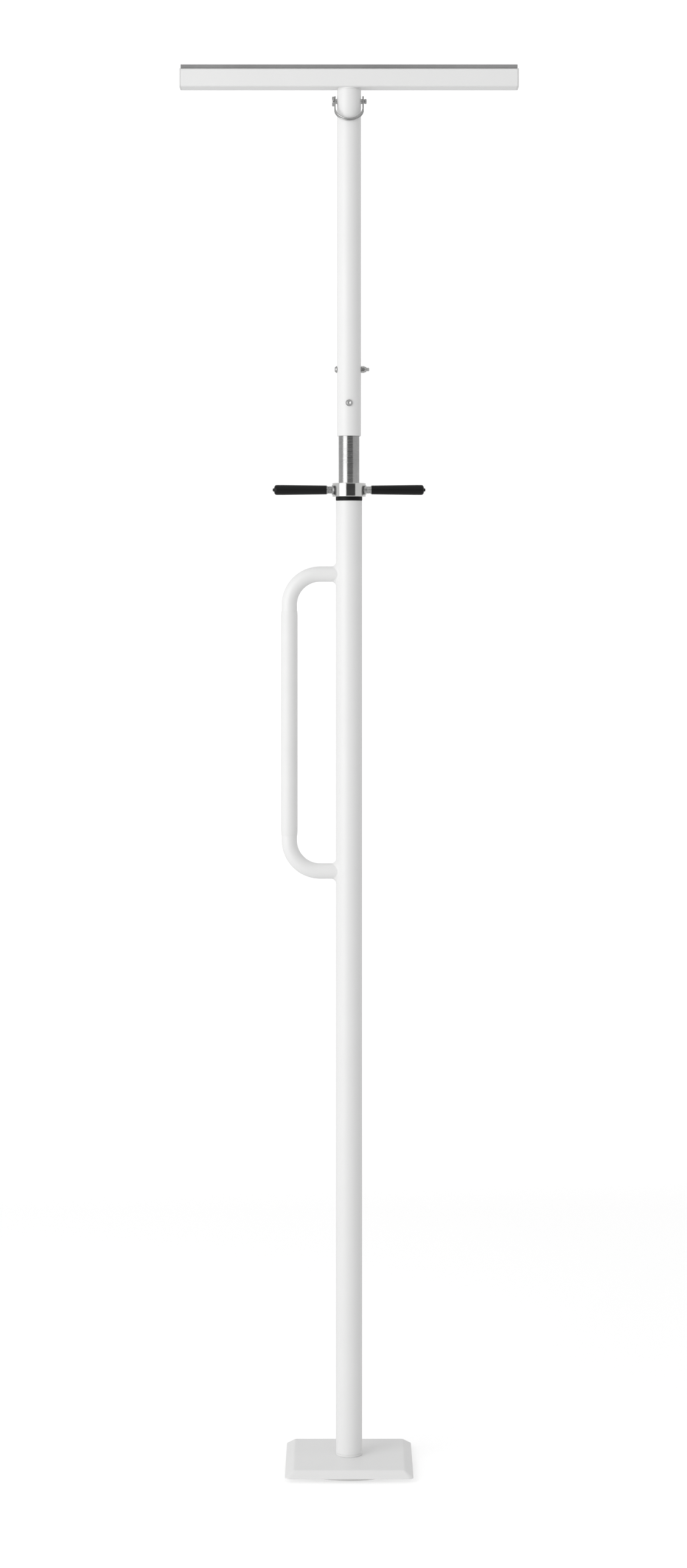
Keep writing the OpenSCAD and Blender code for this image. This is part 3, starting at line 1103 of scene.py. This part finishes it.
@dataclass
class Jack:
    """Round nut with two turning bars in black vinyl grips."""

    body: str = "jack"
    bar_radius: float = 6.35
    edge: float = 0.9
    bore: float = 17.55
    seat: float = 24.5
    seat_radius: float = 10.0
    shoulder: tuple[float, float] = (9.2, 3.6)
    grip_start: float = 36.2
    grip_thin: float = 7.3
    grip_round: float = 4.2
    pip: float = 3.0
    pip_height: float = 2.5
    stud_pitch: float = 1.75
    stud_shown: float = 6.4
    stud_root: float = 19.5

    def __post_init__(self) -> None:
        """Reads the jack's sizes from the frame."""
        self.low, self.high = box_mm("jack_nut")
        self.middle = (self.low.z + self.high.z) / 2

    def nut(self) -> Piece:
        """The nut, turned and then drilled and dished for its bars."""
        corners = [
            (self.bore, self.low.z, 0.5), (self.high.x, self.low.z, self.edge),
            (self.high.x, self.high.z, self.edge), (self.bore, self.high.z, 0.8),
        ]
        section = rounded(corners, 5)
        nut = pipe("round_nut", section, 160)
        inner = self.bore + 1.4
        outside = self.high.x + 2.0
        hole = self.bar_radius + 0.1
        corners = [
            (0.0, inner, 0.0), (hole, inner, 0.0), (hole, self.seat, 0.0),
            (self.seat_radius, self.seat, 0.3), (self.seat_radius, outside, 0.0), (0.0, outside, 0.0),
        ]
        cutter_profile = rounded(corners, 2, closed=False)
        cutter = Skin()
        for side in Side:
            cutter.turned(cutter_profile, at(self.middle, side.axis), 64)
        tool = cutter.build("bar_hole_cutter")
        cut = nut.modifiers.new("bar_holes", "BOOLEAN")
        cut.operation, cut.solver, cut.object = "DIFFERENCE", "EXACT", tool
        graph = bpy.context.evaluated_depsgraph_get()
        mesh = bpy.data.meshes.new_from_object(nut.evaluated_get(graph))
        nut.modifiers.remove(cut)
        nut.data = mesh
        bpy.data.objects.remove(tool)
        return nut

    def bar(self, side: Side) -> list[Piece]:
        """One bar: stud in the nut, domed shoulder in the nut's seat, and the rod in the grip."""
        place = at(self.middle, side.axis)
        low, high = self.stud_root, box_mm("jack_bars")[1].x
        core = self.bar_radius * 0.9
        foot = self.seat + 0.05
        wide, tall = self.shoulder
        threaded = foot + tall + self.stud_shown
        corners = [
            (0.0, low, 0.0), (self.bar_radius, low, 0.4), (self.bar_radius, foot, 0.0),
            (wide, foot, 0.4), (wide, foot + tall * 0.45, 1.5),
            (self.bar_radius + 0.6, foot + tall, 0.5), (core, foot + tall, 0.0),
            (core, threaded - 0.8, 0.0), (self.bar_radius, threaded, 0.2),
            (self.bar_radius, high, 0.6), (0.0, high, 0.0),
        ]
        profile = rounded(corners, 4, closed=False)
        rod = Skin().turned(profile, place, 64).build("bar_rod")
        turns = (threaded - 0.6 - foot - tall) / self.stud_pitch
        radii = (self.bar_radius, core - 0.2)
        thread = ridge("bar_thread", radii, self.stud_pitch, turns, foot + tall + 0.2, 48, 0.6)
        thread.data.transform(Matrix.Translation(place.translation * MM) @ side.axis.turn())
        return [rod, thread]

    def grip(self, side: Side) -> Piece:
        """One dipped grip: slightly thicker outwards, round ended, with a small pip."""
        high = box_mm("jack_grips")[1]
        thick = high.y
        tip = high.x
        end = tip - self.pip_height
        bore = self.bar_radius + 0.05
        corners = [
            (0.0, end - self.grip_round, 0.0), (bore, end - self.grip_round, 0.0),
            (bore, self.grip_start, 0.2), (self.grip_thin, self.grip_start, 0.5),
            (thick, end - 14.0, 160.0), (thick, end, self.grip_round), (self.pip, end, 0.6),
            (self.pip * 0.72, tip, 1.0), (0.0, tip, 0.0),
        ]
        profile = rounded(corners, 7, closed=False)
        return Skin().turned(profile, at(self.middle, side.axis), 72).build("bar_grip")

    def make(self) -> None:
        """Builds and dresses the jack."""
        fit(self.nut(), BRIGHT_STEEL, self.body, "jack_nut")
        rods = [part for side in Side for part in self.bar(side)]
        fit(joined("turning_bars", rods), ZINC_STEEL, self.body, "jack_bars")
        grips = [self.grip(side) for side in Side]
        fit(joined("vinyl_grips", grips), BLACK_VINYL, self.body, "jack_grips")


# ---- screw, upper tube and bolts


@dataclass
class UpperPole:
    """Jack screw and upper tube, held together by two crossed bolts."""

    body: str = "head"
    wall: float = 1.75
    edge: float = 0.35
    pitch: float = 2.0
    thread_depth: float = 1.15
    screw_wall: float = 3.0
    thread_above: float = 26.0
    dome: tuple[float, float] = (5.6, 3.8)
    shank: float = 3.0
    socket: float = 2.3
    socket_depth: float = 2.0
    nut_flats: float = 4.8
    nut_height: float = 6.0
    collar: tuple[float, float] = (4.6, 2.66)
    insert_bore: float = 4.0
    bolt_thread: float = 16.0

    def screw(self) -> Piece:
        """The screw tube: plain where the upper tube covers it, threaded below."""
        low, high = box_mm("screw_tube")
        crest = high.x
        root = crest - self.thread_depth
        plain = box_mm("upper_tube")[0].z + self.thread_above
        inner = crest - self.screw_wall
        corners = [
            (inner, low.z, 0.3), (root, low.z, 0.3), (root, plain - 1.5, 0.0), (crest, plain, 0.0),
            (crest, high.z, 0.4), (inner, high.z, 0.3),
        ]
        section = rounded(corners, 3)
        core = pipe("screw_core", section)
        start = low.z + 3.0
        turns = (plain - 1.0 - start) / self.pitch
        thread = ridge("screw_ridge", (crest, root - 0.15), self.pitch, turns, start, 80)
        return joined("jack_screw", [core, thread])

    def tube(self) -> Piece:
        """The upper tube, as a wall with rounded ends."""
        low, high = box_mm("upper_tube")
        return pipe("upper_pole", tube_section(high.x, high.x - self.wall, low.z, high.z, self.edge))

    def hexagon(self, flats: float, height: float, place: Matrix, round_to: float = 0.0) -> list[Vector]:
        """Points round a hexagon, eight to a side.

        Args:
            flats: half the width over flats.
            height: height along the piece's own axis.
            place: where the piece's own axes lie.
            round_to: if above 0, no point lies further out than this.

        Returns:
            48 points, matched by angle to a turned ring of 48.
        """
        ring = []
        for i in range(48):
            angle = math.tau * i / 48
            off_flat = (angle % (math.pi / 3)) - math.pi / 6
            reach = flats / math.cos(off_flat)
            if round_to > 0:
                reach = min(reach, round_to)
            ring.append(place @ Vector((reach * math.cos(angle), reach * math.sin(angle), height)))
        return ring

    def bolt(self, place: Matrix, seat: float, end: float) -> list[Piece]:
        """A dome-headed bolt with a hexagon socket and a threaded end.

        Args:
            place: where the bolt's own axes lie; its head is at the low end.
            seat: distance of the head's seat from the pole's axis.
            end: distance of the bolt's end from the pole's axis.

        Returns:
            The bolt's body and its thread.
        """
        dome_r, dome_h = self.dome
        top = -seat - dome_h
        rings = [
            self.hexagon(1e-3, top + self.socket_depth + 0.5, place),
            self.hexagon(self.socket * 0.9, top + self.socket_depth, place),
            self.hexagon(self.socket, top + self.socket_depth - 0.2, place),
            self.hexagon(self.socket, top + 0.25, place), circle(self.socket * 1.28, top, place),
        ]
        start = math.asin(self.socket * 1.28 / dome_r)
        for i in range(1, 9):
            turn = start + (math.pi / 2 - start) * i / 8
            height = -seat - dome_h * max(math.cos(turn) / math.cos(start), 0.0)
            rings.append(circle(dome_r * math.sin(turn), height, place))
        core = self.shank * 0.87
        threaded = end - self.bolt_thread
        for radius, height in [
            (dome_r - 0.2, -seat + 0.15), (self.shank, -seat + 0.15), (self.shank, threaded),
            (core, threaded + 0.6), (core, end - 0.5), (core - 0.5, end), (1e-3, end),
        ]:
            rings.append(circle(radius, height, place))
        body = Skin().loft(rings).build("bolt_body")
        turns = self.bolt_thread - 0.5
        thread = ridge("bolt_thread", (self.shank, core - 0.1), 1.0, turns, end - turns - 0.2, 32)
        thread.data.transform(Matrix.Translation(place.translation * MM) @ place.to_3x3().to_4x4())
        return [body, thread]

    def nut(self, place: Matrix, seat: float) -> Piece:
        """A self-locking nut: chamfered hexagon and a round collar over its nylon insert."""
        flats, high = self.nut_flats, self.nut_height
        corner = flats / math.cos(math.pi / 6)
        bore = self.shank + 0.05
        collar_r, collar_h = self.collar
        lip = bore + 0.5
        rings = [
            circle(bore, seat, place), circle(flats * 0.96, seat, place),
            self.hexagon(flats, seat + 0.45, place, corner * 0.985),
            self.hexagon(flats, seat + 0.9, place), self.hexagon(flats, seat + high - 0.9, place),
            self.hexagon(flats, seat + high - 0.45, place, corner * 0.985),
            circle(flats * 0.975, seat + high, place), circle(collar_r, seat + high, place),
            circle(collar_r, seat + high + collar_h * 0.55, place),
        ]
        for i in range(1, 6):
            turn = math.pi / 2 * i / 5
            radius = collar_r - (collar_r - lip) * (1 - math.cos(turn))
            level = seat + high + collar_h * (0.55 + 0.45 * math.sin(turn))
            rings.append(circle(radius, level, place))
        inside = seat + high + self.collar[1] * 0.62
        rings.append(circle(self.insert_bore, inside, place))
        rings.append(circle(self.insert_bore, seat + high, place))
        rings.append(circle(bore, seat + high, place))
        return Skin().loft(rings, loop=True).build("lock_nut")

    def make(self) -> None:
        """Builds and dresses the screw, the tube and their fasteners."""
        fit(self.screw(), ZINC_STEEL, self.body, "screw_tube")
        fit(self.tube(), WHITE_POWDER, self.body, "upper_tube")
        low, high = box_mm("cross_bolts")
        seat = box_mm("upper_tube")[1].x
        heights = ((low.z + self.dome[0], Axis.BACK), (high.z - self.dome[0], Axis.RIGHT))
        bolts, nuts = [], []
        for height, axis in heights:
            place = at(height, axis)
            bolts += self.bolt(place, seat, high.x)
            nuts.append(self.nut(place, seat))
        fit(joined("dome_bolts", bolts), ZINC_STEEL, self.body, "cross_bolts")
        fit(joined("self_locking_nuts", nuts), ZINC_STEEL, self.body, "lock_nuts")
        dress("nut_inserts", NYLON)
        dress("screw_guide", GUIDE_PLASTIC)


# ---- ceiling head


@dataclass
class CeilingHead:
    """T-shaped head: hollow beam, end caps, collar and rubber strip."""

    body: str = "head"
    wall: float = 2.0
    corner: float = 4.0
    cap: float = 2.5
    cap_plug: float = 8.0
    strip_ribs: int = 7
    rib_depth: float = 0.6
    groove: float = 1.6
    cap_round: float = 1.1

    def __post_init__(self) -> None:
        """Reads the beam's sizes from the frame."""
        self.low, self.high = box_mm("head_beam")
        self.middle = (self.low.z + self.high.z) / 2
        self.width = self.high.y - self.low.y
        self.height = self.high.z - self.low.z

    def section(self, inset: float, x: float, corner: float) -> list[Vector]:
        """Points round the beam's outline, drawn in by inset, at a place along it."""
        outline = round_rect(self.width - 2 * inset, self.height - 2 * inset, corner, 8)
        return [Vector((x, y, self.middle + z)) for y, z in outline]

    def beam(self) -> Piece:
        """The hollow beam, open at both ends."""
        left, right = self.low.x, self.high.x
        inner = self.corner - self.wall
        edge = 0.4
        rings = [
            self.section(edge, left, self.corner - edge), self.section(0.0, left + edge, self.corner),
            self.section(0.0, right - edge, self.corner), self.section(edge, right, self.corner - edge),
            self.section(self.wall, right, inner), self.section(self.wall, left, inner),
        ]
        return Skin().loft(rings, loop=True).build("ceiling_beam")

    def end_cap(self, side: Side) -> Piece:
        """One moulded cap with soft outer edges and a plug that fits the beam."""
        inner_face = self.high.x * side.value
        gap = 0.12
        plug = self.wall + 0.05
        rings = [
            self.section(plug + 3.0, inner_face - side.value * self.cap_plug, 1.0),
            self.section(plug, inner_face - side.value * (self.cap_plug - 1.5), self.corner - plug),
            self.section(plug, inner_face + side.value * gap, self.corner - plug),
            self.section(0.35, inner_face + side.value * gap, self.corner - 0.35),
            self.section(0.0, inner_face + side.value * (gap + 0.35), self.corner),
        ]
        for i in range(6):
            turn = math.pi / 2 * i / 5
            inset = self.cap_round * (1 - math.cos(turn))
            x = inner_face + side.value * (self.cap - self.cap_round + self.cap_round * math.sin(turn))
            rings.append(self.section(inset, x, self.corner - inset))
        return Skin().loft(rings).build("beam_cap")

    def collar(self) -> Piece:
        """Short collar between the upper tube's end and the beam, its lower edges lightly rounded."""
        low, high = box_mm("head_collar")
        bore = box_mm("head_stub")[1].x + 0.05
        section = rounded(
            [(bore, low.z, 0.1), (high.x, low.z, 0.4), (high.x, high.z, 0.0), (bore, high.z, 0.0)], 3,
        )
        return pipe("beam_collar", section, 96)

    def strip(self) -> Piece:
        """Rubber strip, its top face grooved along its length."""
        low, high = box_mm("ceiling_strip")
        half = high.y
        corners = [(-half, low.z, 0.5), (half, low.z, 0.5), (half, high.z, 1.2)]
        spacing = 2 * half / (self.strip_ribs + 1)
        for i in range(self.strip_ribs):
            y = half - spacing * (i + 1)
            corners += [
                (y + self.groove / 2, high.z, 0.3),
                (y + self.groove / 4, high.z - self.rib_depth, 0.15),
                (y - self.groove / 4, high.z - self.rib_depth, 0.15),
                (y - self.groove / 2, high.z, 0.3),
            ]
        corners.append((-half, high.z, 1.2))
        outline = rounded(corners, 4)
        rings = [[Vector((x, y, z)) for y, z in outline] for x in (low.x, high.x)]
        return Skin().loft(rings).build("ceiling_pad")

    def make(self) -> None:
        """Builds and dresses the head."""
        fit(self.beam(), WHITE_POWDER, self.body, "head_beam")
        caps = joined("beam_caps", [self.end_cap(side) for side in Side])
        fit(caps, WHITE_PLASTIC, self.body, "beam_end_caps")
        fit(self.collar(), WHITE_POWDER, self.body, "head_collar")
        fit(self.strip(), GREY_RUBBER, self.body, "ceiling_strip")
        dress("head_stub", WHITE_POWDER)


# ---- lock pin and bail


@dataclass
class LockPin:
    """Lock pin with its wire bail hanging in front of the tube."""

    body: str = "pin"
    pin_radius: float = 4.0
    head_radius: float = 8.0
    head_thick: float = 3.5
    wire: float = 1.2
    bow: float = 22.8
    reach: float = 39.0
    tilt: float = 36.0
    strand: float = 1.6
    eye: float = 5.6
    eye_up: float = 3.0

    def __post_init__(self) -> None:
        """Reads the pin's place from the frame."""
        self.low, self.high = box_mm("lock_pin")
        self.height = (self.low.z + self.high.z) / 2

    def pin(self) -> Piece:
        """The pin: dished head, plain shank and chamfered tip."""
        head_out, head_in, tip = self.low.x, self.low.x + self.head_thick, self.high.x
        corners = [
            (0.0, head_out + 0.9, 0.0), (3.2, head_out + 0.9, 0.4), (4.4, head_out, 0.6),
            (self.head_radius, head_out, 1.0), (self.head_radius, head_in, 0.4),
            (self.pin_radius, head_in, 0.2), (self.pin_radius, tip - 4.6, 0.1),
            (self.pin_radius - 0.5, tip - 4.1, 0.1), (self.pin_radius - 0.5, tip - 3.3, 0.1),
            (self.pin_radius, tip - 2.8, 0.1), (self.pin_radius, tip, 1.0), (0.0, tip, 0.0),
        ]
        profile = rounded(corners, 4, closed=False)
        return Skin().turned(profile, at(self.height, Axis.RIGHT), 64).build("locking_pin")

    def bail_path(self) -> list[Vector]:
        """Points once round the closed wire: bow, eye, bow and eye."""
        arm = self.reach + self.eye_up - self.bow
        spread = math.asin((self.eye - self.strand) / (arm + self.bow))
        path: list[Vector] = []
        for side in (1, -1):
            shift = Matrix.Translation((0.0, side * self.eye, -arm))
            lean = Matrix.Rotation(-side * spread, 4, "X") @ shift
            for i in range(49):
                angle = math.pi * i / 48
                x = self.bow * math.cos(angle) * side
                path.append(lean @ Vector((x, 0.0, -self.bow * math.sin(angle))))
            first, last = math.degrees(-spread), math.degrees(math.pi + spread)
            if side < 0:
                first, last = last, first
            for y, z in arc((0.0, 0.0), self.eye, first, last, 20):
                path.append(Vector((-side * self.bow, y, z)))
        place = at(self.height) @ Matrix.Rotation(math.radians(-self.tilt), 4, "X")
        lift = Matrix.Translation((0.0, 0.0, self.eye_up))
        return [place @ lift @ point for point in path]

    def bail(self) -> Piece:
        """The wire bail as one endless wire."""
        sizes = {
            "Rod Radius": self.wire * MM, "Bend Radius": 0.0, "Bend Steps": 1, "Sides": 20,
            "Material": ZINC_STEEL.material(),
        }
        path = path_curve("bail_path", self.bail_path(), cyclic=True)
        return baked("wire_bail", path, Shared.get(rod_tree), sizes)

    def make(self) -> None:
        """Builds and dresses the pin and its bail."""
        fit(self.pin(), ZINC_STEEL, self.body, "lock_pin")
        fit(self.bail(), ZINC_STEEL, self.body, "pin_bail")


# ---- studio


@dataclass(frozen=True)
class Panel:
    """A flat studio panel that stands upright and faces the pole.

    Attributes:
        name: the panel's name.
        bearing: direction from the pole, in degrees to the right of the camera.
        distance: distance from the pole, in metres.
        height: height of its middle, in metres.
        size: width and height, in metres.
        level: how bright its face looks, where 1 is white.
    """

    name: str
    bearing: float
    distance: float
    height: float
    size: tuple[float, float]
    level: float

    def place(self) -> Matrix:
        """Where the panel stands, with its own -Z towards the pole."""
        angle = math.radians(self.bearing)
        spot = Vector((math.sin(angle) * self.distance, -math.cos(angle) * self.distance, self.height))
        aim = Vector((-spot.x, -spot.y, 0.0))
        return Matrix.Translation(spot) @ aim.to_track_quat("-Z", "Y").to_matrix().to_4x4()

    def shine(self) -> None:
        """Adds the panel as a soft light."""
        data = bpy.data.lights.new(self.name, "AREA")
        data.shape = "RECTANGLE"
        data.size, data.size_y = self.size
        data.energy = self.level * math.pi * self.size[0] * self.size[1]
        linked(self.name, data).matrix_world = self.place()

    def card(self) -> None:
        """Adds the panel as a dark card, which metal mirrors as a stripe."""
        w, h = self.size[0] / 2, self.size[1] / 2
        corners = [self.place() @ Vector(c) for c in ((-w, -h, 0), (w, -h, 0), (w, h, 0), (-w, h, 0))]
        mesh = bpy.data.meshes.new(self.name)
        mesh.from_pydata(corners, [], [(0, 1, 2, 3)])
        sheet = linked(self.name, mesh)
        felt = bpy.data.materials.new(self.name)
        felt.use_nodes = True
        shader = felt.node_tree.nodes["Principled BSDF"]
        shader.inputs["Base Color"].default_value = (self.level, self.level, self.level, 1.0)
        shader.inputs["Roughness"].default_value = 1.0
        mesh.materials.append(felt)
        sheet.visible_camera = False


@dataclass
class Studio:
    """Pale seamless floor and backdrop, soft light and the camera."""

    camera_place: tuple[float, float, float] = (-0.009, -5.0, 1.459)
    lens: float = 70.72
    shift_y: float = -0.139
    floor_front: float = -16.0
    floor_back: float = 3.5
    wall_height: float = 7.0
    half_width: float = 16.0
    cove: float = 1.5
    paper: Colour = (0.78, 0.78, 0.78)
    floor_glow: float = 0.39
    wall_glow: float = 0.47
    glow_rise: float = 0.12
    bounce: float = 0.72
    sky: float = 0.72
    key: Panel = Panel("key_light", -46.0, 3.6, 1.8, (2.9, 3.6), 2.1)
    flag: Panel = Panel("dark_card", 12.5, 6.2, 1.8, (7.4, 1.5), 0.06)

    def camera(self) -> None:
        """The camera: level, with the lens shifted down to take in the foot."""
        data = bpy.data.cameras.new("camera")
        data.lens = self.lens
        data.sensor_fit = "AUTO"
        data.sensor_width = 36.0
        data.shift_y = self.shift_y
        data.clip_end = 60.0
        camera = linked("camera", data)
        camera.location = self.camera_place
        camera.rotation_euler = (math.pi / 2, 0.0, 0.0)
        bpy.context.scene.camera = camera

    def paper_material(self) -> bpy.types.Material:
        """Backdrop paper: white in view, an even pale grey to the pole, clear from behind."""
        made, wires = new_material("backdrop_paper")
        height = wires.add(
            "ShaderNodeSeparateXYZ", Vector=wires.add("ShaderNodeTexCoord").outputs["Object"]
        ).outputs["Z"]
        glow = wires.add(
            "ShaderNodeMapRange", Value=height, From_Max=self.glow_rise, To_Min=self.floor_glow,
            To_Max=self.wall_glow,
        ).outputs[0]
        seen = wires.add(
            "ShaderNodeBsdfPrincipled", Base_Color=(*self.paper, 1.0), Roughness=0.95,
            Specular_IOR_Level=0.1, Emission_Color=(1.0, 1.0, 1.0, 1.0), Emission_Strength=glow,
        )
        even = wires.add("ShaderNodeEmission", Color=(1.0, 1.0, 1.0, 1.0), Strength=self.bounce)
        clear = wires.add("ShaderNodeBsdfTransparent")
        behind = wires.add("ShaderNodeNewGeometry").outputs["Backfacing"]
        front = wires.add("ShaderNodeMixShader", i0=behind, i1=seen.outputs[0], i2=clear.outputs[0])
        path = wires.add("ShaderNodeLightPath").outputs["Is Camera Ray"]
        mixed = wires.add("ShaderNodeMixShader", i0=path, i1=even.outputs[0], i2=front.outputs[0])
        wires.add("ShaderNodeOutputMaterial", Surface=mixed.outputs[0])
        return made

    def backdrop(self) -> None:
        """One sheet that is floor, cove and wall."""
        curve = [(self.floor_front, 0.0), (self.floor_back - self.cove, 0.0)]
        curve += arc((self.floor_back - self.cove, self.cove), self.cove, -90.0, 0.0, 24)
        curve.append((self.floor_back, self.wall_height))
        mesh = bpy.data.meshes.new("backdrop")
        points = [(x, y, z) for y, z in curve for x in (-self.half_width, self.half_width)]
        faces = [(2 * i, 2 * i + 1, 2 * i + 3, 2 * i + 2) for i in range(len(curve) - 1)]
        mesh.from_pydata(points, [], faces)
        mesh.materials.append(self.paper_material())
        mesh.shade_smooth()
        sheet = linked("backdrop", mesh)

    def world(self) -> None:
        """Even pale light from all round, white in view."""
        world = bpy.data.worlds.new("studio")
        world.use_nodes = True
        sky = world.node_tree.nodes["Background"]
        sky.inputs["Color"].default_value = (1.0, 1.0, 1.0, 1.0)
        wires = Wiring(world.node_tree)
        path = wires.add("ShaderNodeLightPath").outputs["Is Camera Ray"]
        level = wires.add("ShaderNodeMapRange", Value=path, To_Min=self.sky, To_Max=1.0).outputs[0]
        world.node_tree.links.new(level, sky.inputs["Strength"])
        bpy.context.scene.world = world

    def make(self) -> None:
        """Sets up the whole studio."""
        self.camera()
        self.backdrop()
        self.world()
        self.key.shine()
        self.flag.card()
        bpy.context.scene.view_settings.view_transform = "Standard"


def main() -> None:
    """Builds every sub-assembly in order."""
    logging.basicConfig(level=logging.INFO, format="%(name)s %(message)s")
    assemblies = (FloorFoot(), LowerPole(), GrabHandle(), Jack(), UpperPole(), CeilingHead(), LockPin())
    for part in (Studio(), *assemblies):
        part.make()


if __name__ == "__main__":
    main()
